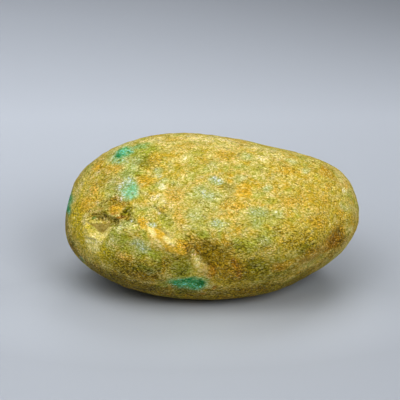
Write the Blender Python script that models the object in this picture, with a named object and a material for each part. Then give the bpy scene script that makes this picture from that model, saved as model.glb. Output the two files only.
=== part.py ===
"""A jadeite pebble: one river-worn stone that rests on a small flat spot.

The body is a set of broad faces that water has worn into one another. Long swells and hollows
are laid on it, a flat spot is ground under it, and the chipped scars are cut out of it. Seen
from the front, +X is its right end, -Y is the front and +Z is up. The origin is the middle of
its footprint, on the surface that it rests on.
"""

import math

import bmesh
import bpy
import numpy as np

MM = 0.001

# The stone's size over all, which sets how evenly the mesh is spread over it
LENGTH = 120 * MM
DEPTH = 78 * MM
HEIGHT = 63 * MM

# How much of the rounded underside is ground away where the stone rests
GROUND_AWAY = 0.45 * MM

# The rounded body before its faces: half its length, depth and height, and how square it is,
# where 2 is an ellipsoid
BODY_HALVES = (61.8 * MM, 43.0 * MM, 36.0 * MM)
BODY_SQUARENESS = 2.8

# How tightly one worn face turns into the next: a higher power gives a tighter turn
WEAR_POWER = 9.0

# The worn faces: name, the azimuth and elevation of the outward normal in degrees, and how far
# the face lies from the stone's core in millimetres. Azimuth 0 is +X, 90 the back, 270 the front.
WORN_FACES = (
    ("upper_front", 268, 58, 30.5),
    ("upper_front_left", 222, 40, 49.0),
    ("upper_front_right", 312, 45, 45.0),
    ("front", 266, 10, 42.5),
    ("lower_front", 272, -36, 35.0),
    ("lower_front_left", 232, -35, 46.0),
    ("lower_front_right", 314, -32, 47.0),
    ("top_right", 63, 63, 35.2),
    ("right_crown", 30, 45, 66.0),
    ("top_left", 119, 60, 45.2),
    ("left_crown", 154, 42, 57.0),
    ("underside", 266, -88, 29.8),
    ("left_belly", 224, -63, 41.0),
    ("right_belly", 323, -56, 41.0),
    ("back", 86, 8, 41.5),
    ("upper_back", 100, 42, 40.0),
    ("lower_back", 95, -42, 38.0),
    ("lower_back_left", 145, -30, 50.0),
    ("back_right", 40, -12, 52.0),
)

# Long swells and hollows: name, azimuth and elevation of the middle seen from the core,
# half-widths along and across in millimetres, the turn of the long side in degrees, and the
# height in millimetres, which is negative for a hollow
SWELLS = (
    ("back_hump", 100, 72, 10, 8, 0, 1.3),
    ("chip_ridge", 241, 13, 9, 3.0, -18, 1.4),
    ("valley_over_the_ridge", 240, 24, 10, 4, -10, -0.8),
    ("left_lobe", 233, -8, 13, 8, 5, 0.8),
    ("front_hollow", 290, -1, 16, 7, 8, -2.0),
    ("hollow_beside_the_ridge", 265, 5, 6, 4.5, 70, -1.1),
    ("right_hollow", 330, 1, 9, 4.5, 55, -1.3),
    ("right_keel_hollow", 322, -17, 11, 7, 25, -0.8),
    ("top_left_shoulder", 150, 48, 10, 7, 20, 0.8),
    ("back_hollow", 70, 18, 17, 9, 15, -1.4),
    ("back_left_swell", 125, -4, 14, 9, -20, 1.0),
    ("left_end_hollow", 176, 4, 8, 6, 40, -0.8),
)

# The chipped scars, each broken out of the skin by one blow. Name, azimuth and elevation of
# the middle seen from the core, and the corners of what is missing, in millimetres right, up and
# out from the skin. Corners far out only carry a broken face through the skin.
SCARS = (
    ("left_bite", 212.6, 11.7, (
        (-7.2, 2.0, -1.6), (-2.6, 3.0, -3.0), (-3.0, -1.0, -2.6), (-7.0, -1.4, -1.6),
        (-10.5, 3.4, 1.0), (-4.5, 4.2, 1.0), (-0.5, 6.0, 1.0), (1.2, 4.0, -2.2),
        (2.5, -1.0, 1.0), (-8.5, -3.5, 1.0),
    )),
    ("right_bite", 212.6, 11.7, (
        (0.0, 3.0, -3.0), (4.0, 3.6, -2.9), (5.6, 4.0, -2.4), (0.0, 0.0, -2.8), (5.0, 1.0, -2.2),
        (0.5, 5.4, 1.0), (4.2, 5.6, 1.0), (8.0, 5.6, 0.6), (9.0, 2.0, 1.0), (0.0, -3.5, 1.0),
    )),
    ("brown_floor", 212.6, 11.7, (
        (-0.5, -2.7, -3.4), (-5.4, -0.4, -2.2), (2.8, 1.6, -2.4), (-5.0, 2.2, -1.6),
        (3.0, 3.0, -1.6), (-7.0, -5.6, 1.0), (0.5, -7.2, 1.0), (7.0, -4.6, 1.0),
        (-8.4, 0.0, 1.0), (8.4, 1.4, 1.0),
    )),
    ("green_pocket", 219.8, 20.0, (
        (-1.2, -1.6, -1.2), (1.0, -0.6, -1.3), (-0.4, 0.8, -1.1),
        (-3.0, -2.6, 1.0), (2.6, -2.0, 1.0), (3.0, 0.8, 1.0), (0.8, 2.4, 1.0), (-2.0, 1.4, 1.0),
    )),
    ("ridge_end", 257.5, 5.0, (
        (-0.4, 5.0, -0.8), (0.9, -1.0, -1.7), (2.8, -9.0, -0.9),
        (-1.8, 6.0, 1.0), (-0.8, -1.0, 1.0), (1.2, -11.0, 1.0), (4.5, 6.5, 0.6),
        (7.0, -1.0, 0.8), (8.0, -10.0, 0.8),
    )),
)

# How finely the base mesh is divided all over, and the places where it is divided further:
# azimuth and elevation seen from the core, and how far around them in degrees. Each place halves
# the edges that it finds there.
SUBDIVISIONS = 5
FINE_PLACES = ((232, 11, 26), (214, 12, 12), (258, 3, 9))

# How far in degrees, seen from the core, the points lie from a place whose slope they give
SLOPE_STEP = 1.0


def direction(azimuth, elevation):
    """The unit vector at an azimuth and an elevation given in degrees."""
    a = math.radians(azimuth)
    e = math.radians(elevation)
    return np.array([math.cos(a) * math.cos(e), math.sin(a) * math.cos(e), math.sin(e)])


def worn_radius(rays):
    """How far from the core the worn body reaches along each unit ray."""
    normals = np.array([direction(az, el) for _, az, el, _ in WORN_FACES])
    distances = np.array([far for _, _, _, far in WORN_FACES]) * MM
    faces = np.maximum(rays @ normals.T, 0) / distances
    body = (np.abs(rays / BODY_HALVES) ** BODY_SQUARENESS).sum(axis=1) ** (1 / BODY_SQUARENESS)
    nearness = np.column_stack([faces, body])
    return (nearness**WEAR_POWER).sum(axis=1) ** (-1 / WEAR_POWER)


def skin_frame(azimuth, elevation, turn=0):
    """A point of the worn body and three unit axes there: right, up and out of the skin.

    Right is level before the turn, which is in degrees and anticlockwise seen from outside.
    """
    around = [(0, 0), (SLOPE_STEP, 0), (-SLOPE_STEP, 0), (0, SLOPE_STEP), (0, -SLOPE_STEP)]
    rays = np.array([direction(azimuth + a, elevation + e) for a, e in around])
    spot, east, west, north, south = rays * worn_radius(rays)[:, None]
    out = np.cross(east - west, north - south)
    out /= np.linalg.norm(out)
    level = np.cross([0, 0, 1], out)
    level /= np.linalg.norm(level)
    rise = np.cross(out, level)
    t = math.radians(turn)
    right = level * math.cos(t) + rise * math.sin(t)
    up = rise * math.cos(t) - level * math.sin(t)
    return spot, right, up, out


def swell_height(points):
    """How far the long swells and hollows lift each point of the worn body."""
    height = np.zeros(len(points))
    for _, azimuth, elevation, along, across, turn, lift in SWELLS:
        spot, right, up, out = skin_frame(azimuth, elevation, turn)
        offset = points - spot
        spread = (offset @ right / (along * MM)) ** 2 + (offset @ up / (across * MM)) ** 2
        spread += (offset @ out / (max(along, across) * MM)) ** 2
        height += lift * MM * np.exp(-0.5 * spread)
    return height


def stone_points(rays):
    """The stone's skin along each ray, seen from its core."""
    points = rays * worn_radius(rays)[:, None]
    return points + rays * swell_height(points)[:, None]


def footing(points):
    """Where the footprint's middle lies, seen from the core, at the surface below it."""
    low, high = points.min(axis=0), points.max(axis=0)
    return np.array([(low[0] + high[0]) / 2, (low[1] + high[1]) / 2, low[2] + GROUND_AWAY])


def unit_rays(mesh):
    """A unit ray through each point of a mesh."""
    spots = np.array([v.co for v in mesh.verts])
    return spots / np.linalg.norm(spots, axis=1)[:, None]


def ray_mesh():
    """A closed mesh of rays, spread evenly over a long body and finer at the fine places."""
    mesh = bmesh.new()
    bmesh.ops.create_icosphere(mesh, subdivisions=SUBDIVISIONS, radius=1)
    for vert in mesh.verts:
        vert.co = (vert.co.x * LENGTH, vert.co.y * DEPTH, vert.co.z * HEIGHT)
    for azimuth, elevation, reach in FINE_PLACES:
        middle = direction(azimuth, elevation)
        rays = unit_rays(mesh)
        near = set(np.nonzero(rays @ middle > math.cos(math.radians(reach)))[0])
        mesh.verts.index_update()
        edges = [e for e in mesh.edges if all(v.index in near for v in e.verts)]
        bmesh.ops.subdivide_edges(mesh, edges=edges, cuts=1, use_grid_fill=True)
        bmesh.ops.triangulate(mesh, faces=[f for f in mesh.faces if len(f.verts) > 3])
    return mesh


def grind_flat(mesh):
    """Grinds the mesh off at the resting surface and closes it with one flat face."""
    cut = bmesh.ops.bisect_plane(
        mesh,
        geom=mesh.verts[:] + mesh.edges[:] + mesh.faces[:],
        plane_co=(0, 0, 0),
        plane_no=(0, 0, -1),
        clear_outer=True,
    )
    rim = [e for e in cut["geom_cut"] if isinstance(e, bmesh.types.BMEdge)]
    bmesh.ops.contextual_create(mesh, geom=rim)


def add_object(name, mesh):
    """Makes a scene object from a bmesh and frees the bmesh."""
    data = bpy.data.meshes.new(name)
    mesh.to_mesh(data)
    mesh.free()
    item = bpy.data.objects.new(name, data)
    bpy.context.scene.collection.objects.link(item)
    return item


def scar_cutter(name, azimuth, elevation, corners, foot):
    """What one blow broke away: the solid around a scar's corners."""
    spot, right, up, out = skin_frame(azimuth, elevation)
    mesh = bmesh.new()
    for r, u, o in corners:
        mesh.verts.new(spot - foot + (right * r + up * u + out * o) * MM)
    bmesh.ops.convex_hull(mesh, input=mesh.verts)
    bmesh.ops.delete(mesh, geom=[v for v in mesh.verts if not v.link_faces])
    bmesh.ops.recalc_face_normals(mesh, faces=mesh.faces)
    cutter = add_object(name + "_cutter", mesh)
    cutter.hide_render = True
    cutter.display_type = "WIRE"
    return cutter


def skin_material():
    """The stone's satin skin, in its mean colour."""
    material = bpy.data.materials.new("jadeite_skin")
    material.use_nodes = True
    shader = material.node_tree.nodes["Principled BSDF"]
    shader.inputs["Base Color"].default_value = (0.45, 0.34, 0.07, 1)
    shader.inputs["Roughness"].default_value = 0.55
    shader.inputs["Metallic"].default_value = 0.0
    return material


def build_stone():
    """The whole stone: its worn body, ground flat below, with the scars cut out of it."""
    mesh = ray_mesh()
    points = stone_points(unit_rays(mesh))
    foot = footing(points)
    for vert, point in zip(mesh.verts, points - foot):
        vert.co = point
    grind_flat(mesh)
    stone = add_object("stone", mesh)
    stone.data.materials.append(skin_material())
    stone.data.shade_smooth()
    for name, azimuth, elevation, corners in SCARS:
        cut = stone.modifiers.new(name, "BOOLEAN")
        cut.operation = "DIFFERENCE"
        cut.object = scar_cutter(name, azimuth, elevation, corners, foot)
    return stone


def main():
    for old in list(bpy.data.objects):
        bpy.data.objects.remove(old)
    build_stone()


main()
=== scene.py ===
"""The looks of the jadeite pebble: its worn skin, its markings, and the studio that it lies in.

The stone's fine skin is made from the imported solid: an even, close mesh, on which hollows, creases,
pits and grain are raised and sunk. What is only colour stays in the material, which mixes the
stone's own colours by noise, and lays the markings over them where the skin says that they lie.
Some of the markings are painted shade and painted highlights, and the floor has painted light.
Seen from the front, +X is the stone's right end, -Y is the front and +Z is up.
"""

import itertools
import math
import random

import bmesh
import bpy
import numpy as np
from mathutils import Matrix, Vector
from mathutils.bvhtree import BVHTree


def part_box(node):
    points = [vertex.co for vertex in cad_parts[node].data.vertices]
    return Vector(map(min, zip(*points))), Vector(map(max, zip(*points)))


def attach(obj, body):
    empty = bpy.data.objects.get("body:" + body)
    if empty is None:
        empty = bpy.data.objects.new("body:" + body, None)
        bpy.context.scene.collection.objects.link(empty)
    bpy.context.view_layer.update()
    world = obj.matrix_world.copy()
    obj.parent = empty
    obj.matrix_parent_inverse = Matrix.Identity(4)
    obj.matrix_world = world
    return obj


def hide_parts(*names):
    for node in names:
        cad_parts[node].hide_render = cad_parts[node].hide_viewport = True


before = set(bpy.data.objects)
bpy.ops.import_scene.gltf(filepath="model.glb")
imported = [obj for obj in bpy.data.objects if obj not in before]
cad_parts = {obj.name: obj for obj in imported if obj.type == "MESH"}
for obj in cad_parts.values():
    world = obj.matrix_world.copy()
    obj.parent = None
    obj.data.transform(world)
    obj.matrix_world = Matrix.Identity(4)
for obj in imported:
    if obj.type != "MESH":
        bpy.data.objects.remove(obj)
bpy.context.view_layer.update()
scene = bpy.context.scene

MM = 0.001


def table(text):
    """The rows of a plain table, in which each line gives a name and then numbers."""
    rows = (line.split() for line in text.split("\n") if line)
    return [(name, *map(float, numbers)) for name, *numbers in rows]


# The view: how far the camera looks down in degrees, its lens and sensor in millimetres, and the
# square picture's side in pixels
CAMERA_ELEVATION = 25
LENS = 100
SENSOR = 36
PICTURE_SIDE = 400
FOCAL_PIXELS = PICTURE_SIDE * LENS / SENSOR

# How large the stone shows, and the pixel that shows its middle
PIXELS_PER_MM = 2.44
MIDDLE_PIXEL = (211.5, 213.0)

# The skin's mesh: its spacing, how far around a broken edge it is made finer, and how far around
# such an edge the skin keeps the solid's own shape
SKIN_SPACING = 0.66 * MM
FINER_REACH = 3.0 * MM
KEEP_REACH = 2.2 * MM

# Points closer than this are one
WELD = 0.001 * MM

# The smoothing's steps, which shrink and swell the skin in turn so that it keeps its size
SMOOTHING = (0.55, -0.57) * 14

# The solid's broken edges stay crisp where they turn by more than this many degrees and lie around
# the fresh chip: the step between the points along them, the pixel of its middle and its reach
BROKEN_ANGLE = 14
BROKEN_STEP = 0.4 * MM
CHIP_PIXEL = (101, 226)
CHIP_REACH = 9 * MM

# Hollows and swellings of the skin, placed by the picture: name, column and row of the middle,
# half-length and half-width in pixels, the turn of the long side in degrees, anticlockwise, and
# the height in millimetres, which is negative for a hollow
DENTS = table("""
ridge 161 241 26 7 -33 0.75
valley_over_ridge 172 222 18 6 -35 -0.6
groove_over_ridge 163 230 8 2 -25 -0.3
swirl_beside_ridge 157 209 6 2 -50 -0.35
pale_cup 152 225 6 2.6 -10 -0.35
green_lobe 124 237 13 9 -15 0.7
dip_over_green_lobe 131 221 8 3 -12 -0.45
belly_dip 166 263 12 9 20 -0.6
hollow 204 247 16 9 -20 -0.8
streak_ridge 197 264 11 4 -58 0.7
dip_beside_streak 215 258 9 9 -60 -0.6
rust_rib 237 263 11 4 -75 0.4
bump_over_chip 114 209.5 5 3 10 0.7
lip 99 210.5 9 2.2 4 0.45
under_lip 104 216 14 2.4 4 -0.5
ledge 98 222 6 1.2 3 0.35
pocket 127 212 5 3 35 -0.7
wall_step 91 237 8 1.5 -10 0.3
right_band_dip 300 237 24 6 16 -0.5
right_pit_field 337 237 9 5 60 -0.7
right_low_dip 306 254 12 5 25 -0.35
right_swell 300 190 26 14 -20 0.4
top_left_dip 146 160 9 6 60 -0.4
top_left_corner 126 146 9 5 25 0.4
left_slope_dip 100 172 12 6 45 -0.3
mid_left_dip 108 192 12 8 60 -0.4
mid_dip 226 188 13 6 -15 -0.4
mid_swell 246 200 14 7 -20 0.35
top_bump 196 138 20 4 0 0.35
top_right_fold 262 158 22 3 -20 0.35
under_fold 262 165 22 3 -20 -0.3
right_shoulder 322 164 10 6 -40 0.4
right_end_dip 346 208 6 10 0 -0.3
""")

# Creases and cracks: name, half-width and depth in millimetres, and the columns and rows of the
# pixels that they run along
CREASES = table("""
wall_crack 0.26 0.12 86 237.5 90 238.5 94 239 98 240.5
streak_crack 0.4 0.45 200 252 202 259 207 264 213 268
ridge_foot 0.9 0.35 187 246 188 251 189 257 191 262
ridge_groove 0.4 0.45 155 227 160 229 165 231.5 169 236 172 239
swirl 0.35 0.3 153 206 157 208 159 211 163 213 166 216
long_grain_line 0.3 0.15 226 243 234 244 241 246 246 248
low_crack 0.3 0.35 250 291 253 286 252 282
left_low_crack 0.3 0.3 124 271 128 274 131 279
top_line 0.3 0.2 224 139 232 141 241 144 252 147
""")

# Scattered pits: how many, and their half-width and depth in millimetres from least to most
PIT_COUNT = 420
PIT_HALF_WIDTHS = (0.35, 1.1)
PIT_DEPTHS = (0.06, 0.26)

# The skin's own roughness: name, the size of its grain and its height in millimetres
ROUGHNESS_LAYERS = table("""
waves 12 0.36
lumps 4.6 0.18
sugar 1.7 0.07
""")

# The markings by family. Each mark is placed as the dents are, and its last number says how dense
# it is: 1 is full, and more makes the mark wider
MARKS = {
    # Dusk is partly painted shade, in the hollows, under the chip's lip, in the pocket and along the
    # lower and left rims, and partly a darker, browner colour; mark_family adds painted shade towards
    # the floor
    "dusk": table("""
hollow 209 251 23 12 -15 0.85
over_hollow 192 240 12 5 -30 0.45
right_of_hollow 227 249 18 9 -10 0.5
ridge_end 186 248 9 8 -30 0.9
right_valley 281 231 12 6 0 0.35
right_band_end 316 248 13 6 30 0.6
left_rim 66 222 14 3 -85 0.5
chip_right_side 115 223 12 5 0 0.5
ridge_upper_side 150 224 8 3 -35 0.3
low_mid_top 242 251 15 7 0 0.4
under_ridge_end 178 258 8 5 -20 0.6
far_right_of_hollow 263 245 9 7 0 0.4
over_bar 178 270 12 5 0 0.6
over_lip 116 203 14 8 -10 0.75
right_of_pocket 129 218 7 6 0 0.55
low_mid 238 270 34 17 0 0.75
low_left 140 273 36 12 -20 0.78
low_rim 145 288 26 6 -10 1
left_of_bar 160 268 14 9 20 0.65
low_right 277 276 28 10 22 0.45
right_band 302 243 30 10 16 0.55
right_end 338 240 16 12 50 0.8
under 215 291 90 7 -2 0.6
chip_lip 101 213 10 1.4 14 0.65
chip_lip_left 89 211.5 4 1.2 -5 0.5
under_lip 105 218.5 10 2.2 8 0.4
chip_pocket 125 212.5 8 4.5 30 0.65
chip_shade 118 219 7 2 10 0.45
low_left_rim 112 277 34 6 -25 1
low_right_rim 300 277 26 6 30 0.85
right_rim_low 326 260 26 4 38 0.55
left_rim_low 74 250 18 4 -58 1
right_of_streak 214 267 9 8 0 1
mid 203 204 9 5 0 0.25
right_low 320 222 9 7 0 0.3
"""),
    "emerald": table("""
top_left_spot 123 153 12 7 22 0.85
mid_left_spot 130.5 191 11 9 20 0.57
left_edge 69.5 198 10 5 75 0.85
left_edge_low 67.5 208 9 3.5 100 0.85
bar_left 180 283.5 12 7.5 -5 1
bar_right 194 283 14 8.5 0 1
low_edge_left 82 259 5 2.5 -50 0.35
under_top_left 120 160 11 5 20 0.35
faint_top 140 146 10 4 10 0.35
"""),
    "deep": table("""
top_left_core 119.5 155.5 4 3 10 0.8
bar_core 189 279.5 12 4 0 0.7
bar_right_core 200 282 5 4.5 0 0.8
left_edge_core 69 197 7 2 75 0.75
left_edge_core_low 67.5 207 5 1.6 105 0.65
chip_corner 94 217.5 3.2 2 20 0.45
"""),
    "leaf": table("""
top_left 143 152 23 12 5 1
around_top_left_spot 118 153 17 10 30 0.9
between_spots 133 173 13 14 60 1
left_mid 110 192 12 8 20 0.5
chip_right 133 213 9 8 0 0.4
lobe 118 238 15 9 -20 0.9
left_of_bar 158 265 11 8 0 0.9
lobe_right 146 236 9 6 -30 0.6
low_left 150 256 16 9 0 0.9
valley 166 222 12 7 -35 0.7
mid 205 200 26 14 -10 0.5
right_mid 265 222 26 13 10 0.5
low_mid 248 246 16 10 0 0.7
mid_low 200 224 14 10 0 0.5
over_bar 181 270 12 8 10 0.95
low_left_green 109 250 10 6 -30 0.8
over_hollow 204 235 9 5 -15 0.8
under_bar 186 291 14 4 0 0.9
lobe_low 128 251 10 6 -20 0.6
lobe_top 133 226 9 8 0 0.6
low_right_mid 268 236 14 8 0 0.6
right_upper_mid 270 201 10 4 0 0.5
top_mid 196 152 9 6 0 0.5
low_left_yellow_green 147 267 13 8 0 0.8
"""),
    # Gold: left_top_rim is partly a painted highlight on the left upper rim
    "gold": table("""
left_rim 77 218 44 12 -80 0.85
low_left 106 257 28 10 -35 0.9
right_low 308 240 44 18 22 0.5
right_end 345 212 24 10 85 0.45
far_upper_right 325 182 14 10 -50 0.4
low_mid 232 270 44 22 0 0.65
ridge_end 184 260 8 10 0 0.4
left_top_rim 80 188 18 8 65 0.9
low_rim 205 291 22 5 -2 0.7
low_mid_right 262 244 10 7 0 0.5
right_low_left 292 249 8 6 0 0.5
"""),
    "mint": table("""
over_left_spot 128 181 9 5 60 0.8
top_green 136 163 9 6 70 0.75
small_upper 157 171 5 4 0 0.7
grey_green_upper 164 181 5 4 0 0.7
small_beside 158 185 3.5 3 0 0.5
mid_pale 215 181 9 4 -15 0.9
mid_field 206 194 17 8 -12 0.75
mid_low 195 214 12 7 -10 0.7
mid_white 217 223 11 6 -12 0.75
upper_cloud 210 165 6 9 0 0.4
right_mint 258 212 13 7 -5 0.85
right_mint_pale 279 214 10 5 -5 0.35
right_small 267 188 6 4 0 0.7
top_right_mint 247 157 10 5 -20 0.7
far_right_small 305 171 6 4 30 0.6
top_right_grey 291 161 8 3 -10 0.5
right_end_mint 345 207 9 5 -20 0.4
low_left_grey 141 246 10 8 -20 0.8
beside_ridge 142 207 6 4 0 0.3
under_top_left 124 163 10 6 20 0.9
chip_slope 123 225 9 5 30 0.6
over_mid_strong 238 180 8 6 0 0.6
chip_shelf 130 221 5 3 15 0.4
top_left_rim 124 148 16 5 25 0.4
between_spots 127 173 12 5 20 0.5
right_mid_pale 258 224 8 5 0 0.5
broad_mid 198 200 48 28 0 0.15
low_mid 262 241 12 6 -15 0.5
low_pale_spot 151 274 6 4 0 0.3
green_left 112 188 8 10 0 0.35
"""),
    # Amber: ridge_flank is partly a painted highlight on the ridge's lower flank
    "amber": table("""
upper_left 97 167 8 4 30 0.9
upper_left_long 115 167 12 4.5 5 0.65
left_big 87 204 10 8 60 0.75
left_upper 95 189 9 6 70 0.7
over_mid_left 144 181 11 7 -10 0.85
dark_upper 154 158 7 9 0 0.55
mid_left 174 195 11 9 -10 0.8
chip_bump 115 209.5 6 3.6 10 1
chip_bump_strong 115 209.5 4 2.4 10 1.4
ridge_start 144 224 9 4.4 -50 1.3
ridge_upper 159 236 9 6 -30 1.4
ridge_lower 167 245 12 5 -35 1.2
ridge_end 182 248 9 6.5 -35 1.4
valley_streak 179 219 11 4.5 -60 0.6
mid_strong 243 192 11 7 60 1.2
mid_strong_low 231 206 12 5 5 0.8
mid_strong_up 254 184 8 7 30 0.7
upper_mid 227 154 13 7 -5 0.6
upper_right 289 171 16 6 -5 0.7
far_upper_right 325 173 11 6 -30 0.9
right_mid 291 203 10 8 0 0.7
right_low 318 223 15 8 -15 0.7
right_edge 346 184 6 5 -60 0.8
right_end 342 214 11 7 -60 0.7
top_edge 186 138 22 3 4 0.9
low_left 148 262 12 6 -20 0.35
low_mid_pale 236 272 7 8 0 0.75
low_left_tan 126 256 9 5 -15 0.6
low_left_tan_low 138 280 9 4 -15 0.3
right_low_broad 325 246 26 11 40 0.4
low_broad 225 272 24 16 0 0.3
ridge_flank 158 242 12 4 -38 0.9
low_left_streak 163 268 3 9 0 0.6
right_side 308 198 20 16 0 0.6
right_side_low 322 205 12 14 0 0.6
far_right 338 232 14 9 50 0.7
low_right 288 226 10 7 0 0.4
over_right_low 284 266 16 5 22 0.7
low_right_streak 316 250 14 4 35 0.2
right_upper 286 186 7 5 0 0.6
far_right_upper 328 187 6 5 0 0.6
hollow_top 223 243 13 4 -8 0.55
left_of_pale_pink 146 203 9 4 20 0.5
beside_right_mint 289 214 7 5 0 0.6
"""),
    # Cream: the marks along the upper rims (top_rim, top_rim_right, top_rim_left, top_left_rim,
    # upper_mid_rim, left_top_rim, right_top_rim) are a painted sheen, and ridge_flank is partly a
    # painted highlight on the ridge's lower flank; the rest is the stone's own pale colour
    "cream": table("""
left_of_chip 84 220 7 4 75 0.45
broad_mid 198 200 48 28 0 0.22
white_upper 163.5 187.5 4.5 3.5 -20 1
pale_pink 157 200 9 8 20 0.65
yellow_spot 150 201 4 4 0 0.8
ridge_start 152 232 6 3.6 -40 0.8
ridge_flank 158 243 9 4 -38 0.65
ridge_mid 171 241.5 8 5 -40 0.95
over_ridge_end 187 227 5 2.5 -20 1.1
shelf_spot 136 226 3 1.8 20 0.9
upper_mid 211 167 5 5 0 0.6
upper_spot 184 158 4 3 0 0.8
top_rim 205 138 42 4.5 -3 0.65
top_rim_right 262 149 34 3 -12 0.5
under_streak 206 284 8 5 0 0.6
left_top_rim 79 189 18 5 67 0.55
top_left_rim 120 148 15 4 25 0.6
top_right_line 262 160 8 2.5 -25 0.8
top_right_spot 280 157 7 2.5 -5 0.7
right_end_spot 345 191 3.4 4.4 0 1.2
streak 198 263 13 6 -60 0.55
streak_low 205 273 6 4 -40 0.45
low_rim 205 292 26 3 -2 0.2
swirl 157 211 5 2 -50 0.9
lobe_left 112 243 6 10 -20 0.4
right_top_pale 276 177 7 5 0 0.35
upper_mid_rim 226 147 24 6 -8 0.35
top_rim_left 155 140 14 4 6 0.5
right_top_rim 341 176 14 5 -55 0.5
"""),
    "bone": table("""
wall_foot 93 241 10 5 -15 1.1
below_wall 93 248 8 5 -20 0.9
"""),
    "clay": table("""
over_ledge 102 218 9 2.4 5 0.6
"""),
    "rust": table("""
chip_streak 120.5 216.8 5 1.5 5 1.2
streak_foot 211 272 6 4.5 40 0.9
low_edge 214 287 3 2.5 60 0.9
low_edge_spot 203 293 3 1.8 0 0.8
low_mid 234 263 7 3 -65 1
low_mid_foot 239 274 6 2.6 -75 0.9
right_pits 337 238 8 3 50 0.6
right_pit_glow 333 241 16 9 35 0.7
right_low_glow 310 257 20 6 28 0.5
low_right_glow 276 267 10 6 0 0.55
streak_glow 206 268 10 8 -50 0.45
right_low 328 249 7 2.5 35 0.6
low_broad 226 266 20 20 0 0.22
right_rim 343 243 11 6 60 0.3
bump_rim 115 213.3 5 1 8 0.8
bump_top 113 206.5 5 1.1 25 0.6
lip_left 100 209.5 5 1.6 20 0.35
top_right 324 168 5 3 -20 0.5
ridge_shadow 190 246 6 4 60 0.4
"""),
    # Olive: the pocket mark is painted shade in the chip's pocket; the rest is the stone's own olive
    "olive": table("""
pocket 126 212 6 3.5 30 1
upper_left 146 161 8 8 0 0.7
left_mid 108 180 14 9 40 0.5
left_dark 104 205 9 6 0 0.6
low_right 307 249 14 6 25 0.8
low_green 256 266 15 9 0 0.95
low_field 268 270 40 14 12 0.6
low_mid 183 262 8 10 80 0.7
low_left_field 118 262 26 10 -28 0.4
low_left_green 125 236 12 7 -10 0.3
edge_under 200 292 50 6 -2 0.2
mid_grey 228 187 10 6 -30 0.7
valley 167 219 9 6 -40 0.5
right_of_valley 192 230 14 5 -15 0.6
right_end_low 346 222 8 5 60 0.5
"""),
    # Brown: the marks along the bottom rims and in the dark hollow are partly painted shade and
    # partly brown colour; the cracks, pits and streaks are the stone's own
    "brown": table("""
dark_hollow 210 250 14 8 -15 0.7
dark_hollow_low 220 258 15 9 -20 0.6
low_left_rim 110 278 36 5 -25 0.9
low_rim 145 289 26 4 -10 0.6
low_right_rim 297 280 24 4 25 0.5
right_pits 337 236 9 4.5 60 0.95
chip_streak 119 218 6 1.3 8 0.6
streak_crack 207 260 12 1.5 -54 1
low_shade 236 276 34 10 5 0.45
left_of_bar 160 268 10 6 20 0.35
low_left_edge 128 281 18 4 -20 0.6
low_left_brown 118 270 18 5 -28 0.5
right_low_brown 318 256 14 5 32 0.45
"""),
    "frost": table("""
left_of_spot 122 187 8 7 60 0.9
over_left_spot 127 183 7 4 60 0.8
around_mid_left_spot 127 189 13 11 20 0.9
white_upper 163 187 5 4 0 0.3
ridge_cup 152 225 6 3 -10 0.75
lobe_grey 139 243 7 4.5 -20 0.4
lobe_grey_low 145 250 6 4 10 0.4
around_top_left_spot 117 157 11 7 20 0.45
shelf_white 130 221 3 2 20 0.35
mid_blue 217 180 8 3.5 -15 0.6
mid_field 207 195 8 4 -12 0.4
mid_white 217 223 6 3.5 -12 0.5
beside_white 158 176 4 3 0 0.35
right_mint_pale 279 214 9 4 -5 0.2
right_end_mint 345 207 6 4 -20 0.2
top_green_pale 131 150 4 3 30 0.5
"""),
    "smooth": table("""
ridge 163 237 30 8 -33 0.7
white_upper 163 188 6 5 0 0.6
mid_left_spot 130 191 12 10 0 0.5
below_chip 94 247 9 6 -10 0.5
streak 197 263 11 5 -60 0.5
mid_strong 243 192 12 8 0 0.4
left_big 87 204 9 7 60 0.4
over_lip 114 207 15 8 0 0.6
low_mid 215 262 30 16 0 0.25
"""),
}

# Marks with corners, around the fresh chip: name, family, how dense it is, how soft its edge is in
# pixels, and its corners as the picture shows them, in clockwise order
FACETS = (
    ("wall_left", "cream", 0.5, 2.6, ((84, 228), (90, 228), (103, 233.5), (98, 243), (86, 243))),
    ("wall_right", "bone", 0.7, 1.6, ((103, 233), (109, 228), (113.5, 227.5), (108, 236), (99, 243))),
    ("ledge", "bone", 0.5, 0.9, ((92, 220.4), (103, 220.6), (102, 223), (93, 223))),
    ("floor", "clay", 0.95, 0.8, ((90, 223.6), (112.5, 223.5), (103, 232.8), (99, 232))),
)

# The dusk family's painted shade is darkest below the first height and no darker than elsewhere above
# the second. Noise bends these heights by so many times as much as it bends the marks
DARKER_BELOW = (9 * MM, 21 * MM)
UNEVEN = 3

# On the sides that the picture doesn't show, marks of each family are scattered: how many, their
# half-length and half-width in millimetres from least to most, and how dense they are at most
SCATTER = {row[0]: row[1:] for row in table("""
leaf 22 5 11 3 6 0.85
gold 10 4 10 3 6 0.6
dusk 8 5 12 3 6 0.6
emerald 7 2.2 4.8 1.8 3.2 1
deep 7 0.9 2.6 0.7 1.5 0.8
mint 30 2 6 1.6 3.2 0.9
amber 30 2.4 6.5 1.8 3.4 0.95
cream 18 1.2 3.4 0.8 1.8 0.9
rust 12 1.6 4.2 0.8 2 0.8
bone 6 1 2.6 0.6 1.4 0.7
clay 8 1.4 3.6 0.8 1.8 0.6
olive 22 3 8 2 4.5 0.8
brown 10 3 7.5 1.6 3.4 0.75
frost 12 1.2 3 0.8 1.8 0.8
smooth 8 2 5 1 2.5 0.6
""")}

# Scattered marks lie where the skin faces away from the camera by more than this, and their density
# is between these shares of the greatest
JUST_HIDDEN = -0.05
DENSITY_SHARES = (0.5, 1)

# Noise that bends the outlines of the marks: its size and its reach in millimetres. A mark is bent
# fully if its short half-width is at least the last value, and less if it is smaller
WARP = ((5.2, 0.9), (2.3, 0.6), (1.0, 0.3))
FULLY_BENT = 3.2 * MM

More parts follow.
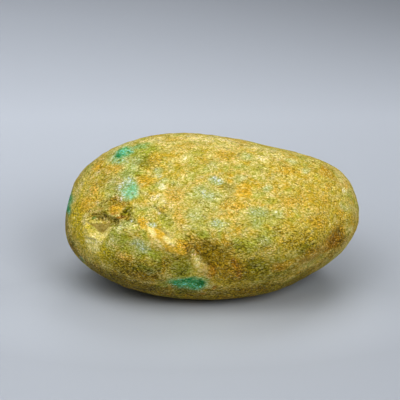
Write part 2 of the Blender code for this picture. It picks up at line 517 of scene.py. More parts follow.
# The seeds of the random draws, and the step between the seeds of noise layers
SCATTER_SEED = 11
WARP_SEED = 40
SEED_STEP = 10

# A mark's edge, by shares of its half-lengths: where it starts to fade and where it has faded, and
# how far a full bend moves each of them
EDGE = (0.65, 1.2)
EDGE_MOVED = (-0.4, 0.1)

# The stone's colours as linear red, green and blue: its own, and for each family of marks the two
# tones, followed by how much of the colour under it a dense mark covers
OCHRE = (0.665, 0.488, 0.052)
LEAF = (0.50, 0.50, 0.068)
GOLD = (0.725, 0.475, 0.046)
STRAW = (0.84, 0.71, 0.255)
# The colour of the glinting grains: pale grains with a painted highlight
PALE_GRAIN_GLINT = (0.94, 0.86, 0.36)
DARK_GRAIN = (0.15, 0.11, 0.02)
COLOURS = table("""
leaf 0.33 0.39 0.03 0.47 0.54 0.06 0.8
gold 0.64 0.5 0.014 0.82 0.64 0.028 0.85
dusk 0.44 0.37 0.03 0.62 0.53 0.06 1
olive 0.2 0.19 0.003 0.34 0.31 0.006 0.75
mint 0.44 0.52 0.17 0.62 0.7 0.33 0.8
amber 0.67 0.4 0.022 0.79 0.51 0.04 0.9
cream 0.9 0.75 0.24 0.98 0.88 0.46 0.9
bone 0.89 0.745 0.215 0.995 0.89 0.36 0.95
clay 0.36 0.265 0.056 0.45 0.34 0.085 0.95
brown 0.22 0.15 0.003 0.34 0.24 0.006 0.85
rust 0.4 0.165 0.006 0.62 0.315 0.014 0.8
frost 0.52 0.61 0.39 0.72 0.79 0.58 0.85
emerald 0.07 0.48 0.19 0.25 0.67 0.38 0.95
deep 0.012 0.21 0.045 0.045 0.36 0.11 0.9
""")

# The dusk family, partly dark stain and partly painted shade, darkens the colour under it: its tones
# are what it lets through
STAIN_AND_SHADE_FAMILIES = {"dusk"}

# The marks of these families have clear outlines, and those of the others fade out widely: the span
# of levels over which a mark's colour comes in, and how far noise moves that level up or down
CLEAR = {"bone", "clay", "deep"}
CLEAR_SPAN, CLEAR_RAGGED = (0.15, 0.70), 0.20
SOFT_SPAN, SOFT_RAGGED = (0.05, 0.80), 0.10


# The view and the picture


def view_axes():
    """The camera's right, up and forward directions."""
    e = math.radians(CAMERA_ELEVATION)
    right = Vector((1, 0, 0))
    up = Vector((0, math.sin(e), math.cos(e)))
    forward = Vector((0, math.cos(e), -math.sin(e)))
    return right, up, forward


def camera_place():
    """Where the camera stands, so that the stone has its place and size in the picture."""
    right, up, forward = view_axes()
    low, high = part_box("stone")
    middle = Vector((0, 0, (low.z + high.z) / 2))
    aside = (MIDDLE_PIXEL[0] - PICTURE_SIDE / 2) / PIXELS_PER_MM * MM
    below = (MIDDLE_PIXEL[1] - PICTURE_SIDE / 2) / PIXELS_PER_MM * MM
    distance = FOCAL_PIXELS / PIXELS_PER_MM * MM
    return middle - forward * distance - right * aside + up * below


def pixel_ray(column, row):
    """The direction from the camera through a place in the picture."""
    right, up, forward = view_axes()
    half = PICTURE_SIDE / 2
    return (forward * FOCAL_PIXELS + right * (column - half) - up * (row - half)).normalized()


def new_object(name, data):
    """A new object in the scene."""
    thing = bpy.data.objects.new(name, data)
    scene.collection.objects.link(thing)
    return thing


def make_camera():
    """The camera, which sees the stone from the front and above."""
    right, up, forward = view_axes()
    data = bpy.data.cameras.new("camera")
    data.lens = LENS
    data.sensor_width = SENSOR
    camera = new_object("camera", data)
    turn = Matrix((right, up, -forward)).transposed().to_4x4()
    camera.matrix_world = Matrix.Translation(camera_place()) @ turn
    scene.camera = camera


# Noise


# Numbers that scramble a cell's place and the noise's seed into a random number
CELL_FACTORS = (73856093, 19349663, 83492791)
SEED_FACTOR = 7919
SEED_START = 101
SCRAMBLER = 1274126177

# Rough noise: how many times finer each of its layers is, and how strong it is, and the height by
# which their sum is divided
LAYERS = ((1, 1), (2.03, 1 / 2), (4.11, 1 / 4))
LAYERED_HEIGHT = 1.4


def lattice_values(cells, seed):
    """A random value from -1 to 1 for each cell of an endless grid."""
    mixed = cells.astype(np.uint32) * np.array(CELL_FACTORS, np.uint32)
    spun = mixed[:, 0] ^ mixed[:, 1] ^ mixed[:, 2] ^ np.uint32(seed * SEED_FACTOR + SEED_START)
    spun = (spun ^ (spun >> np.uint32(13))) * np.uint32(SCRAMBLER)
    spun = spun ^ (spun >> np.uint32(16))
    low_half = spun & np.uint32(0xFFFF)
    return low_half / (0xFFFF / 2) - 1


def smooth_noise(points, size, seed):
    """Smooth noise from -1 to 1 at each point, with lumps of a size."""
    places = points / size
    low = np.floor(places)
    share = places - low
    share = share * share * (3 - 2 * share)
    cells = low.astype(np.int64)
    total = np.zeros(len(points))
    for corner in itertools.product((0, 1), repeat=3):
        weight = np.prod(np.where(corner, share, 1 - share), axis=1)
        total += weight * lattice_values(cells + np.array(corner), seed)
    return total


def rough_noise(points, size, seed):
    """Noise from about -1 to 1 with lumps of a size and finer ones on them."""
    total = np.zeros(len(points))
    for layer, (finer, share) in enumerate(LAYERS):
        total += smooth_noise(points, size / finer, seed + layer) * share
    return total / LAYERED_HEIGHT


# The skin's mesh


def mesh_arrays(data):
    """A mesh's points, and the pairs of points that its edges join."""
    points = np.empty(len(data.vertices) * 3)
    data.vertices.foreach_get("co", points)
    edges = np.empty(len(data.edges) * 2, int)
    data.edges.foreach_get("vertices", edges)
    return points.reshape(-1, 3), edges.reshape(-1, 2)


def mesh_tree(data):
    """A mesh as a tree that finds the nearest point on it and where a ray hits it."""
    faces = [tuple(face.vertices) for face in data.polygons]
    return BVHTree.FromPolygons([v.co for v in data.vertices], faces)


def vertex_normals(data):
    """The outward direction at each point of a mesh."""
    normals = np.empty(len(data.vertices) * 3)
    data.vertices.foreach_get("normal", normals)
    return normals.reshape(-1, 3)


def set_points(data, points):
    """Moves a mesh's points."""
    data.vertices.foreach_set("co", points.ravel())
    data.update()


def welded_solid():
    """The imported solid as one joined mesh, and points along its crisp broken edges."""
    solid = bmesh.new()
    solid.from_mesh(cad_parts["stone"].data)
    bmesh.ops.remove_doubles(solid, verts=solid.verts, dist=WELD)
    chip = BVHTree.FromBMesh(solid).ray_cast(camera_place(), pixel_ray(*CHIP_PIXEL))[0]
    broken = []
    for edge in solid.edges:
        a, b = (v.co for v in edge.verts)
        if edge.calc_face_angle(0) < math.radians(BROKEN_ANGLE) or (a - chip).length > CHIP_REACH:
            continue
        steps = max(1, round(edge.calc_length() / BROKEN_STEP))
        broken.extend(a.lerp(b, i / steps) for i in range(steps + 1))
    data = bpy.data.meshes.new("stone_skin")
    solid.to_mesh(data)
    solid.free()
    return data, np.array(broken)


def distance_to(points, marks):
    """How far each point lies from the nearest mark, up to a limit that saves time."""
    limit = 3 * FINER_REACH
    at_once = 4000
    low, high = marks.min(axis=0) - limit, marks.max(axis=0) + limit
    far = np.full(len(points), limit)
    near = np.nonzero(np.all((points > low) & (points < high), axis=1))[0]
    for part in np.array_split(near, max(1, len(near) // at_once)):
        gaps = np.linalg.norm(points[part][:, None] - marks[None], axis=2)
        far[part] = np.minimum(gaps.min(axis=1), limit)
    return far


def ramp(values, low, high):
    """0 below the low limit and 1 above the high one, with a smooth turn between."""
    share = np.clip((values - low) / (high - low), 0, 1)
    return share * share * (3 - 2 * share)


def evened(points, edges, weight):
    """Smooths away the solid's facets without shrinking it, by as much as each point's weight."""
    count = len(points)
    neighbours = np.bincount(edges.ravel(), minlength=count)[:, None]
    for step in SMOOTHING:
        mean = np.empty_like(points)
        for axis in range(3):
            values = points[:, axis]
            mean[:, axis] = np.bincount(edges[:, 0], values[edges[:, 1]], count)
            mean[:, axis] += np.bincount(edges[:, 1], values[edges[:, 0]], count)
        points = points + (mean / neighbours - points) * step * weight[:, None]
    return points


def refine_near(data, marks, reach):
    """Splits the mesh's edges around the marks."""
    points, _ = mesh_arrays(data)
    near = distance_to(points, marks) < reach
    mesh = bmesh.new()
    mesh.from_mesh(data)
    mesh.verts.ensure_lookup_table()
    chosen = [e for e in mesh.edges if all(near[v.index] for v in e.verts)]
    bmesh.ops.subdivide_edges(mesh, edges=chosen, cuts=1, use_grid_fill=True)
    bmesh.ops.triangulate(mesh, faces=[f for f in mesh.faces if len(f.verts) > 4])
    mesh.to_mesh(data)
    mesh.free()


def make_skin():
    """The stone's fine skin before its relief, with crisp broken edges and no facets elsewhere."""
    solid, broken = welded_solid()
    skin = new_object("stone_skin", solid)
    remesh = skin.modifiers.new("even", "REMESH")
    remesh.mode = "VOXEL"
    remesh.voxel_size = SKIN_SPACING
    fine = bpy.data.meshes.new_from_object(skin.evaluated_get(bpy.context.evaluated_depsgraph_get()))
    skin.modifiers.clear()
    points, edges = mesh_arrays(fine)
    gap = distance_to(points, broken)
    set_points(fine, evened(points, edges, ramp(gap, KEEP_REACH / 2, KEEP_REACH)))
    refine_near(fine, broken, FINER_REACH)
    snap_near(fine, solid, broken)
    fine.name = "stone_skin"
    skin.data = fine
    fine.shade_smooth()
    return skin


def snap_near(fine, solid, broken):
    """Puts the points around the broken edges back on the solid."""
    tree = mesh_tree(solid)
    points, _ = mesh_arrays(fine)
    gap = distance_to(points, broken)
    share = 1 - ramp(gap, KEEP_REACH, FINER_REACH)
    for i in np.nonzero(share > 0)[0]:
        on_solid = tree.find_nearest(Vector(points[i]))[0]
        points[i] += (np.array(on_solid) - points[i]) * share[i]
    set_points(fine, points)


# Places on the skin that the picture gives


# How far towards the stone's middle a pixel just off the stone may be moved, and in how many tries
INWARD_SHARE = 0.3
INWARD_TRIES = 61

# Where the skin is steeper to the view than this, a mark is drawn out no further
STEEPEST = 0.3


class Finder:
    """Finds places on the smooth skin by where the picture shows them."""

    def __init__(self, data):
        self.tree = mesh_tree(data)
        self.eye = camera_place()

    def spot(self, column, row):
        """The place on the skin at a pixel, and the skin's outward direction there.

        A pixel just off the stone is moved towards the stone's middle until it is on it.
        """
        for share in np.linspace(0, INWARD_SHARE, INWARD_TRIES):
            x = column + (MIDDLE_PIXEL[0] - column) * share
            y = row + (MIDDLE_PIXEL[1] - row) * share
            place, normal, _, _ = self.tree.ray_cast(self.eye, pixel_ray(x, y))
            if place is not None:
                return np.array(place), np.array(normal)
        raise ValueError(f"no stone at pixel {column}, {row}")

    def pixels(self, points):
        """The column and the row at which the picture shows each point."""
        right, up, forward = (np.array(axis) for axis in view_axes())
        away = points - np.array(self.eye)
        scale = FOCAL_PIXELS / (away @ forward)
        half = PICTURE_SIDE / 2
        return half + away @ right * scale, half - away @ up * scale

    def oval(self, column, row, along, across, turn):
        """The middle of an oval mark, its two half-axes on the skin, and the way out of the skin."""
        middle, out = self.spot(column, row)
        right, up, forward = (np.array(axis) for axis in view_axes())
        t = math.radians(turn)
        axes = []
        for half, x, y in ((along, math.cos(t), math.sin(t)), (across, -math.sin(t), math.cos(t))):
            flat = (right * x + up * y) * half / PIXELS_PER_MM * MM
            slope = -(flat @ out) / min(forward @ out, -STEEPEST)
            axes.append(flat + forward * slope)
        return middle, axes[0], axes[1], out


def oval_distance(points, middle, long_axis, short_axis, out):
    """How far each point is from an oval's middle, where 1 is its edge."""
    basis = np.stack([long_axis, short_axis], axis=1)
    thickness = max(np.linalg.norm(long_axis), np.linalg.norm(short_axis))
    offset = points - middle
    share = offset @ np.linalg.pinv(basis).T
    return np.sqrt((share**2).sum(axis=1) + (offset @ out / thickness) ** 2)


# The relief


# A crease fades over this share of its length at each end, down to this share of its depth
CREASE_END = 1 / 5
CREASE_LEAST = 0.25

# Beyond this many half-widths a pit is not felt. The seed of the draws that scatter the pits
PIT_FELT = 3
PIT_SEED = 4

# The relief fades out towards the floor, from the second height down to the first
FLOOR_ROOM = (0.4 * MM, 2.0 * MM)

# Painted shade darkens a pit from the first share of the greatest depth on, and most at the second
SHADED_PIT = (0.35, 1.0)


def crease_depth(points, finder, half_width, depth, *pixels):
    """How far one crease sinks each point: deepest in its middle, and fading to its ends."""
    path = [finder.spot(*pixel)[0] for pixel in zip(pixels[::2], pixels[1::2])]
    sunk = np.zeros(len(points))
    for i, (a, b) in enumerate(zip(path, path[1:])):
        run = b - a
        share = np.clip((points - a) @ run / (run @ run), 0, 1)
        gap = np.linalg.norm(points - a - share[:, None] * run, axis=1)
        along = (i + share) / (len(path) - 1)
        fade = np.clip(np.minimum(along, 1 - along) / CREASE_END, CREASE_LEAST, 1)
        sunk = np.maximum(sunk, fade * np.exp(-((gap / (half_width * MM)) ** 2)))
    return sunk * depth * MM


def pit_depth(points, rng):
    """How far the scattered pits sink each point."""
    sunk = np.zeros(len(points))
    for _ in range(PIT_COUNT):
        middle = points[rng.randrange(len(points))]
        half = rng.uniform(*PIT_HALF_WIDTHS) * MM
        depth = rng.uniform(*PIT_DEPTHS) * MM
        near = np.nonzero(np.abs(points - middle).max(axis=1) < PIT_FELT * half)[0]
        gap = np.linalg.norm(points[near] - middle, axis=1) / half
        sunk[near] = np.maximum(sunk[near], depth * np.exp(-(gap**2)))
    return sunk


def relief(points, finder):
    """How far the skin's relief lifts each point of the smooth skin, in metres."""
    height = np.zeros(len(points))
    for name, column, row, along, across, turn, lift in DENTS:
        distance = oval_distance(points, *finder.oval(column, row, along, across, turn))
        height += lift * MM * np.exp(-(distance**2))
    for name, *crease in CREASES:
        height -= crease_depth(points, finder, *crease)
    for seed, (name, size, rise) in enumerate(ROUGHNESS_LAYERS):
        height += rough_noise(points, size * MM, SEED_STEP * seed) * rise * MM
    height -= pit_depth(points, random.Random(PIT_SEED))
    return height


# The markings


def noise_warp(points):
    """For each point, a small shift by noise, which bends the outline of any mark."""
    shift = np.zeros_like(points)
    for layer, (size, reach) in enumerate(WARP):
        for axis in range(3):
            seed = WARP_SEED + SEED_STEP * layer + axis
            shift[:, axis] += smooth_noise(points, size * MM, seed) * reach * MM
    return shift


def hidden_ovals(points, normals, family, rng):
    """Ovals of a family scattered over the sides that the picture doesn't show."""
    count, shortest, longest, narrowest, widest, densest = SCATTER[family]
    to_eye = np.array(camera_place()) - points
    to_eye /= np.linalg.norm(to_eye, axis=1)[:, None]
    hidden = np.nonzero((normals * to_eye).sum(axis=1) < JUST_HIDDEN)[0]
    for _ in range(int(count)):
        spot = hidden[rng.randrange(len(hidden))]
        out = normals[spot]
        side = np.cross(out, [rng.uniform(-1, 1) for _ in range(3)])
        side /= np.linalg.norm(side)
        rise = np.cross(out, side)
        long_axis = side * rng.uniform(shortest, longest) * MM
        short_axis = rise * rng.uniform(narrowest, widest) * MM
        density = rng.uniform(*DENSITY_SHARES) * densest
        yield density, (points[spot], long_axis, short_axis, out)


def underside(points, shift):
    """How far down each point lies, as painted shade that is darker below, up to an uneven height."""
    return 1 - ramp(points[:, 2] + UNEVEN * shift[:, 2], *DARKER_BELOW)


def facet_level(points, normals, finder, density, softness, corners):
    """How strongly a mark with corners colours each point, on the side of the stone that is seen."""
    column, row = finder.pixels(points)
    outside = np.full(len(points), -np.inf)
    for (x0, y0), (x1, y1) in zip(corners, corners[1:] + corners[:1]):
        run = math.hypot(x1 - x0, y1 - y0)
        beyond = ((column - x0) * (y1 - y0) - (row - y0) * (x1 - x0)) / run
        outside = np.maximum(outside, beyond)
    seen = ((np.array(finder.eye) - points) * normals).sum(axis=1) > 0
    return density * (1 - ramp(outside, -softness, softness)) * seen


def mark_family(points, normals, shift, finder, family, rng):
    """How strongly a family colours each point: up to its density inside a mark, and 0 outside, but
    for the painted shade towards the floor that dusk starts from.
    """
    # Dusk starts from painted shade towards the floor
    level = underside(points, shift) if family == "dusk" else np.zeros(len(points))
    seen = [(m[6], finder.oval(*m[1:6])) for m in MARKS[family]]
    for density, oval in itertools.chain(seen, hidden_ovals(points, normals, family, rng)):
        bend = min(1, np.linalg.norm(oval[2]) / FULLY_BENT)
        distance = oval_distance(points + shift * bend, *oval)
        start, end = (edge + moved * bend for edge, moved in zip(EDGE, EDGE_MOVED))
        level = np.maximum(level, density * (1 - ramp(distance, start, end)))
    for name, owner, *facet in FACETS:
        if owner == family:
            level = np.maximum(level, facet_level(points, normals, finder, *facet))
    return level


def store(data, name, values):
    """Keeps one value for each point of the skin under a name that the material reads."""
    layer = data.attributes.new(name, "FLOAT", "POINT")
    layer.data.foreach_set("value", values.astype(np.float32))


# The material


# Noise: the size of its lumps in millimetres, its detail and its shift
CLOUDS = (11, 2, 0.31)
SPOTS = (4.6, 2, 0.77)
MOTTLES = (2.6, 1, 0.53)
RAGGED_EDGES = (1.6, 1.5, 0.2)
TONES = (1.7, 1, 0.6)
BEND = (8, 2, 0.15)
LUMPS = (1.5, 2, 0.45)
FINE = (0.36, 2, 0.9)
WRINKLES = (2.4, 2, 0.7)

# The middle part of noise, over which it takes a colour from one tone to another
WIDE_PART = (0.3, 0.7)
NARROW_PART = (0.35, 0.65)

# The spans of noise over which the skin turns green, gold and straw, and how much of it straw covers
GREEN_PART = (0.92, 1.22)
GOLD_PART = (0.95, 1.25)
STRAW_PART = (0.85, 1.25)
STRAW_COVER = 0.8

# The crystal grains: their size in millimetres, how they are drawn out along the stone, and how far
# the noise bends their rows
GRAIN_SIZE = 0.52
GRAIN_STRETCH = (0.62, 1, 1)
BEND_REACH = 5 * MM

# How much each layer of the grain lightens and darkens the skin
GRAIN_SHADE = 0.16
GAP_PART, GAP_SHADE = (0.15, 0.75), 0.27
FINE_SHADE = 0.19
LUMP_SHADE = 0.07
WRINKLE_WIDTH, WRINKLE_PART, WRINKLE_SHADE = 0.022, (0.5, 0.6), 0.30
DARKEST_SHADE = 0.2

# How many times as strong the grain is in full dusk, which is stain and painted shade, on the
# smoothest
# places, and at the left end: there it grows from the second place to the first, along the stone
STAIN_AND_SHADE_CONTRAST = 2.4
SMOOTH_CONTRAST = 0.35
LEFT_CONTRAST, LEFT_END = 1.3, (-50 * MM, -15 * MM)

# Dark gaps keep less blue than red and green, and bright grains gain more of it
BLUE_POWER = 2.8

# Which of the grains glint and which are dark, by their random numbers, and by how much: a glint is a
# painted highlight on a pale grain. What is left of the glint in full dusk, which is stain and
# painted shade, on emerald and on the smoothest places
GLINTS, GLINT_SHARE = (0.80, 0.95), 0.55
DARK_GRAINS, DARK_SHARE = (0.93, 0.98), 0.4
STAIN_AND_SHADE_GLINT, EMERALD_GLINT, SMOOTH_GLINT = 0.4, 0.2, 0.3

# Painted shade in creases and pits, and how much of the colour it covers there
CREVICE_SHADE = (0.085, 0.065, 0.018)
CREVICE_SHADE_SHARE = 0.5

# The gloss, and the bump: its depth, how much is left on the smoothest places, and how much each
# layer of the grain adds besides the lumps
ROUGHNESS = (0.52, 0.72)
REFRACTION = 1.5
SPECULAR = 0.12
BUMP_DEPTH = 0.5 * MM
SMOOTH_BUMP = 0.4
BUMPS = {"grain": 0.4, "gap": -0.7, "crease": -0.5, "fine": 0.5}


class Nodes:
    """Makes a material and its nodes, each with its values and links in one call."""

    def __init__(self, name):
        self.material = bpy.data.materials.new(name)
        self.material.use_nodes = True
        self.tree = self.material.node_tree

    def feed(self, node, inputs):
        """Gives a node its inputs: each is a name or number, with a value or a socket to link."""
        for key, value in inputs.items():
            if isinstance(value, bpy.types.NodeSocket):
                self.tree.links.new(value, node.inputs[key])
            else:
                node.inputs[key].default_value = value

    def add(self, kind, inputs=None, **settings):
        """A new node of a kind."""
        node = self.tree.nodes.new(kind)
        for key, value in settings.items():
            setattr(node, key, value)
        self.feed(node, inputs or {})
        return node

    def surface(self, inputs):
        """The finished material, once its main shader has its inputs."""
        self.feed(self.tree.nodes["Principled BSDF"], inputs)
        return self.material

    def place(self):
        """The place on the object, in metres."""
        return self.add("ShaderNodeTexCoord").outputs["Object"]

    def math(self, operation, a, b=0.0):
        """One sum on two numbers."""
        return self.add("ShaderNodeMath", {0: a, 1: b}, operation=operation).outputs[0]

    def total(self, *parts):
        """The sum of several numbers."""
        result = parts[0]
        for part in parts[1:]:
            result = self.math("ADD", result, part)
        return result

    def product(self, *parts):
        """The product of several numbers."""
        result = parts[0]
        for part in parts[1:]:
            result = self.math("MULTIPLY", result, part)
        return result

    def level(self, name):
        """The value that the skin keeps at each of its points under a name."""
        return self.add("ShaderNodeAttribute", attribute_name=name).outputs["Fac"]

    def vector(self, operation, a, b):
        """One sum on two vectors."""
        return self.add("ShaderNodeVectorMath", {0: a, 1: b}, operation=operation).outputs[0]

    def noise(self, place, size, detail, shift):
        """Noise with lumps of a size in millimetres: a number from about 0.2 to 0.8, and a colour."""
        moved = self.vector("ADD", place, (shift, shift, shift))
        inputs = {"Vector": moved, "Scale": 1 / (size * MM), "Detail": detail}
        node = self.add("ShaderNodeTexNoise", inputs)
        return node.outputs["Fac"], node.outputs["Color"]

    def grains(self, place, size):
        """Crystal grains of a size in millimetres.

        Gives how far from a grain's middle a place is, and three random numbers for each grain.
        """
        cells = self.add("ShaderNodeTexVoronoi", {"Vector": place, "Scale": 1 / (size * MM)})
        return cells.outputs["Distance"], self.split(cells.outputs["Color"])

    def split(self, colour):
        """A colour's three numbers."""
        return self.add("ShaderNodeSeparateColor", {0: colour}).outputs[:3]

    def span(self, value, low, high, to_low=0.0, to_high=1.0):
        """A value from the low to the high limit, brought to another span."""
        inputs = {"Value": value, "From Min": low, "From Max": high}
        inputs.update({"To Min": to_low, "To Max": to_high})
        return self.add("ShaderNodeMapRange", inputs).outputs["Result"]

    def mix(self, share, a, b):
        """A colour between two, by a share."""
        inputs = {"Factor": share, 6: opaque(a), 7: opaque(b)}
        return self.add("ShaderNodeMix", inputs, data_type="RGBA").outputs[2]


def opaque(colour):
    """A colour as a shader socket takes it: a socket as it is, and three numbers with alpha."""
    return colour if isinstance(colour, bpy.types.NodeSocket) else (*colour, 1)


def base_colour(nodes, place):
    """The skin's own colour: ochre that turns leaf green and gold in clouds, with paler mottles."""
    clouds = nodes.split(nodes.noise(place, *CLOUDS)[1])
    spots = nodes.split(nodes.noise(place, *SPOTS)[1])
    green = nodes.span(nodes.total(clouds[0], spots[0]), *GREEN_PART)
    gold = nodes.span(nodes.total(clouds[1], spots[1]), *GOLD_PART)
    mottles = nodes.total(nodes.noise(place, *MOTTLES)[0], spots[2])
    colour = nodes.mix(gold, nodes.mix(green, OCHRE, LEAF), GOLD)
    return nodes.mix(nodes.span(mottles, *STRAW_PART, 0, STRAW_COVER), colour, STRAW)


def marked_colour(nodes, place, colour):
    """A colour with all the families of marks laid over it."""
    edges = nodes.split(nodes.noise(place, *RAGGED_EDGES)[1])
    tones = nodes.split(nodes.noise(place, *TONES)[1])
    for order, (family, *pair, cover) in enumerate(COLOURS):
        part, rough = (CLEAR_SPAN, CLEAR_RAGGED) if family in CLEAR else (SOFT_SPAN, SOFT_RAGGED)
        ragged = nodes.span(edges[order % 3], *WIDE_PART, -rough, rough)
        level = nodes.total(nodes.level(family), ragged)
        tone = nodes.mix(nodes.span(tones[order % 3], *NARROW_PART), pair[:3], pair[3:])
        # Dusk darkens what lies under it: stain and painted shade
        if family in STAIN_AND_SHADE_FAMILIES:
            tone = nodes.vector("MULTIPLY", tone, colour)
        colour = nodes.mix(nodes.span(level, *part, 0, cover), colour, tone)
    return colour


def grain_layers(nodes, place):
    """The layers of the grain by name: each is a number that changes from place to place.

    The grain runs along the stone, and bends: it is made in a place that is squeezed and warped.
    """
    bend = nodes.vector("SUBTRACT", nodes.noise(place, *BEND)[1], (0.5, 0.5, 0.5))
    bend = nodes.vector("MULTIPLY", bend, (BEND_REACH, BEND_REACH, BEND_REACH))
    fibre = nodes.vector("MULTIPLY", nodes.vector("ADD", place, bend), GRAIN_STRETCH)
    lumps = nodes.noise(fibre, *LUMPS)[0]
    gap, (grain, pale, dark) = nodes.grains(fibre, GRAIN_SIZE)
    wrinkle = nodes.math("ABSOLUTE", nodes.math("SUBTRACT", nodes.noise(fibre, *WRINKLES)[0], 0.5))
    crease = nodes.span(wrinkle, 0, WRINKLE_WIDTH, 1, 0)
    return {
        "lumps": lumps,
        "fine": nodes.noise(fibre, *FINE)[0],
        "gap": gap,
        "grain": grain,
        "pale": pale,
        "dark": dark,
        "crease": nodes.product(crease, nodes.span(lumps, *WRINKLE_PART)),
    }


def grained_colour(nodes, place, colour, layers):
    """A colour with the grain on it, most under dusk, which is stain and painted shade, and least on
    smooth places, with painted highlights as glints and painted shade in creases and pits.
    """
    dusk, smooth, emerald = (nodes.level(name) for name in ("dusk", "smooth", "emerald"))
    x = nodes.add("ShaderNodeSeparateXYZ", {0: place}).outputs["X"]
    contrast = nodes.product(
        nodes.span(dusk, 0, 1, 1, STAIN_AND_SHADE_CONTRAST),
        nodes.span(smooth, 0, 1, 1, SMOOTH_CONTRAST),
        nodes.span(x, *LEFT_END, LEFT_CONTRAST, 1),
    )
    change = nodes.total(
        nodes.span(layers["grain"], 0, 1, -GRAIN_SHADE, GRAIN_SHADE),
        nodes.span(layers["gap"], *GAP_PART, GAP_SHADE, -GAP_SHADE),
        nodes.span(layers["fine"], *WIDE_PART, -FINE_SHADE, FINE_SHADE),
        nodes.span(layers["lumps"], *NARROW_PART, -LUMP_SHADE, LUMP_SHADE),
        nodes.product(layers["crease"], -WRINKLE_SHADE),
    )
    shade = nodes.total(nodes.product(change, contrast), 1.0)
    shade = nodes.math("MAXIMUM", shade, DARKEST_SHADE)
    blue = nodes.math("POWER", shade, BLUE_POWER)
    tint = nodes.add("ShaderNodeCombineXYZ", {0: shade, 1: shade, 2: blue}).outputs[0]
    glint = nodes.product(
        nodes.span(layers["pale"], *GLINTS, 0, GLINT_SHARE),
        nodes.span(dusk, 0, 1, 1, STAIN_AND_SHADE_GLINT),
        nodes.span(emerald, 0, 1, 1, EMERALD_GLINT),
        nodes.span(smooth, 0, 1, 1, SMOOTH_GLINT),
    )
    colour = nodes.mix(glint, nodes.vector("MULTIPLY", colour, tint), PALE_GRAIN_GLINT)
    colour = nodes.mix(nodes.span(layers["dark"], *DARK_GRAINS, 0, DARK_SHARE), colour, DARK_GRAIN)
    # Painted shade in creases and pits
    return nodes.mix(nodes.product(nodes.level("sunk"), CREVICE_SHADE_SHARE), colour, CREVICE_SHADE)


def skin_bump(nodes, layers):
    """The grain that is finer than the mesh, as a bump."""
    parts = [nodes.product(layers[name], share) for name, share in BUMPS.items()]
    height = nodes.total(*parts, layers["lumps"])
    strength = nodes.span(nodes.level("smooth"), 0, 1, 1, SMOOTH_BUMP)
    inputs = {"Height": height, "Strength": strength, "Distance": BUMP_DEPTH}
    return nodes.add("ShaderNodeBump", inputs).outputs["Normal"]


def skin_material():
    """The stone's skin: its own colours, the markings by family, grain, bump and satin gloss."""
    nodes = Nodes("jadeite_skin")
    place = nodes.place()
    layers = grain_layers(nodes, place)
    colour = marked_colour(nodes, place, base_colour(nodes, place))
    inputs = {
        "Base Color": grained_colour(nodes, place, colour, layers),
        "Normal": skin_bump(nodes, layers),
        "Roughness": nodes.span(layers["grain"], 0, 1, *ROUGHNESS),
        "IOR": REFRACTION,
        "Specular IOR Level": SPECULAR,
    }
    return nodes.surface(inputs)


def dress_stone():
    """The whole stone: its skin with relief, markings and material."""
    skin = make_skin()
    data = skin.data
    finder = Finder(data)
    points, _ = mesh_arrays(data)
    normals = vertex_normals(data)
    rng = random.Random(SCATTER_SEED)
    shift = noise_warp(points)
    for family, *_ in COLOURS:
        store(data, family, mark_family(points, normals, shift, finder, family, rng))
    smooth = [facet_level(points, normals, finder, *facet[2:]) for facet in FACETS]
    smooth.append(mark_family(points, normals, shift, finder, "smooth", rng))
    store(data, "smooth", np.max(smooth, axis=0))
    lift = relief(points, finder)
    floor_room = ramp(points[:, 2], *FLOOR_ROOM)
    store(data, "sunk", sunk_share(points, finder))
    points += normals * (lift * floor_room)[:, None]
    points[:, 2] = np.maximum(points[:, 2], 0)
    set_points(data, points)
    data.materials.append(skin_material())
    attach(skin, "root")
    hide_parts("stone")


def sunk_share(points, finder):
    """How deep in a crease or pit each point lies, from 0 to 1: painted shade darkens it there."""
    sunk = sum(crease_depth(points, finder, *crease[1:]) / (crease[2] * MM) for crease in CREASES)
    pits = pit_depth(points, random.Random(PIT_SEED)) / (PIT_DEPTHS[1] * MM)
    return np.clip(sunk + ramp(pits, *SHADED_PIT), 0, 1)


# The studio


# The floor: the radius of its flat part and of its sweep, and the wall's top, in metres, how many
# steps the sweep and the round have, and the paper's linear red, green and blue
FLOOR_RADIUS = 1.2
SWEEP_RADIUS = 0.4
WALL_TOP = 1.4
SWEEP_STEPS = 12
ROUND_STEPS = 96
FLOOR_COLOUR = (0.446, 0.473, 0.517)

# How bright the paper is, as painted light that is lighter behind the stone and to the left and
# darker far back.
# Each row gives two places and the brightness at each. The first two are by depth, and are added up.
# LEAN is from left to right, and is multiplied by SLOPE, by depth
NEAR_PAPER = (-0.02, 0.19, 1.03, 1.40)
FAR_PAPER = (0.20, 0.46, 0.0, -0.30)
SLOPE = (0.05, 0.40, -0.09, -0.25)
LEAN = (-0.16, 0.16, -1, 1)

# A painted pool of light on the paper around the stone, which lightens the stone's shadow: its
# middle, its half-sides and what it adds
PAINTED_POOL_MIDDLE = (-0.01, -0.03, 0)
PAINTED_POOL_SIZE = (0.10, 0.038, 1)
PAINTED_POOL_LIGHT = 0.34
PAPER_ROUGHNESS = 0.85
PAPER_SPECULAR = 0.2


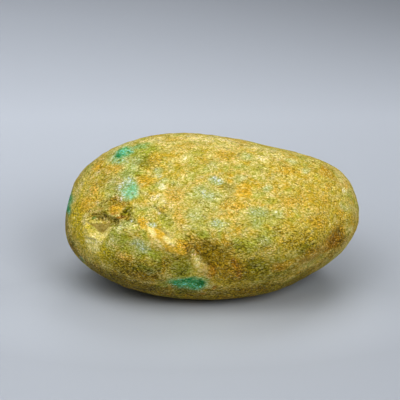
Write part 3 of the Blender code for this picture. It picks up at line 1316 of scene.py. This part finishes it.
def make_floor():
    """A pale round floor that sweeps up into a wall all around, so that no edge shows."""
    profile = [(0.0, 0.0), (FLOOR_RADIUS, 0.0)]
    for step in range(1, SWEEP_STEPS + 1):
        angle = math.radians(90 * step / SWEEP_STEPS)
        profile.append(
            (FLOOR_RADIUS + SWEEP_RADIUS * math.sin(angle), SWEEP_RADIUS * (1 - math.cos(angle)))
        )
    profile.append((FLOOR_RADIUS + SWEEP_RADIUS, WALL_TOP))
    mesh = bmesh.new()
    verts = [mesh.verts.new((x, 0, z)) for x, z in profile]
    edges = [mesh.edges.new(pair) for pair in zip(verts, verts[1:])]
    turn = {"cent": (0, 0, 0), "axis": (0, 0, 1), "angle": math.tau}
    bmesh.ops.spin(mesh, geom=verts + edges, steps=ROUND_STEPS, use_merge=True, **turn)
    bmesh.ops.remove_doubles(mesh, verts=mesh.verts, dist=WELD)
    bmesh.ops.recalc_face_normals(mesh, faces=mesh.faces)
    data = bpy.data.meshes.new("floor")
    mesh.to_mesh(data)
    mesh.free()
    data.shade_smooth()
    floor = new_object("floor", data)
    data.materials.append(floor_material())


def floor_material():
    """Matt pale paper with painted light: lighter behind the stone and to the left, with a painted
    pool of light around the stone.
    """
    nodes = Nodes("floor")
    place = nodes.place()
    x, y, _ = nodes.add("ShaderNodeSeparateXYZ", {0: place}).outputs
    near = nodes.span(y, *NEAR_PAPER)
    far = nodes.span(y, *FAR_PAPER)
    side = nodes.product(nodes.span(x, *LEAN), nodes.span(y, *SLOPE))
    centred = nodes.vector("SUBTRACT", place, PAINTED_POOL_MIDDLE)
    shares = nodes.vector("DIVIDE", centred, PAINTED_POOL_SIZE)
    painted_pool = nodes.add("ShaderNodeVectorMath", {0: shares}, operation="LENGTH").outputs["Value"]
    light = nodes.total(near, far, side, nodes.span(painted_pool, 0, 1, PAINTED_POOL_LIGHT, 0))
    paper = nodes.add("ShaderNodeVectorMath", {0: FLOOR_COLOUR, 3: light}, operation="SCALE")
    inputs = {
        "Base Color": paper.outputs[0],
        "Roughness": PAPER_ROUGHNESS,
        "Specular IOR Level": PAPER_SPECULAR,
    }
    return nodes.surface(inputs)


# The lamps, which have one size and point at one place: name, place in metres and power in watts
LAMP_SIDE = 0.45
AIM = Vector((0, 0, 0.03))
LAMPS = (
    ("front_right_box", (0.45, -0.70, 0.68), 5.05),
    ("front_box", (-0.15, -0.40, 0.68), 1.4),
    ("overhead_box", (-0.15, -0.10, 0.68), 0.75),
    ("left_box", (-0.45, -0.40, 0.68), 1.05),
    ("back_box", (0.15, 0.25, 0.68), 1.5),
)
WORLD_STRENGTH = 0.29

# The picture's contrast: below 1, its dark parts are darker than the light alone makes them
PICTURE_GAMMA = 0.86


def make_lamps():
    """The soft boxes, all turned to the stone."""
    for name, place, power in LAMPS:
        data = bpy.data.lights.new(name, "AREA")
        data.size = LAMP_SIDE
        data.energy = power
        lamp = new_object(name, data)
        lamp.location = place
        lamp.rotation_euler = (AIM - Vector(place)).to_track_quat("-Z", "Y").to_euler()


def make_world():
    """A faint even light from all around, and colours shown as they are."""
    world = bpy.data.worlds.new("world")
    world.use_nodes = True
    scene.world = world
    background = world.node_tree.nodes["Background"]
    background.inputs["Color"].default_value = (1, 1, 1, 1)
    background.inputs["Strength"].default_value = WORLD_STRENGTH
    scene.view_settings.view_transform = "Standard"
    scene.view_settings.gamma = PICTURE_GAMMA


make_camera()
dress_stone()
make_floor()
make_lamps()
make_world()
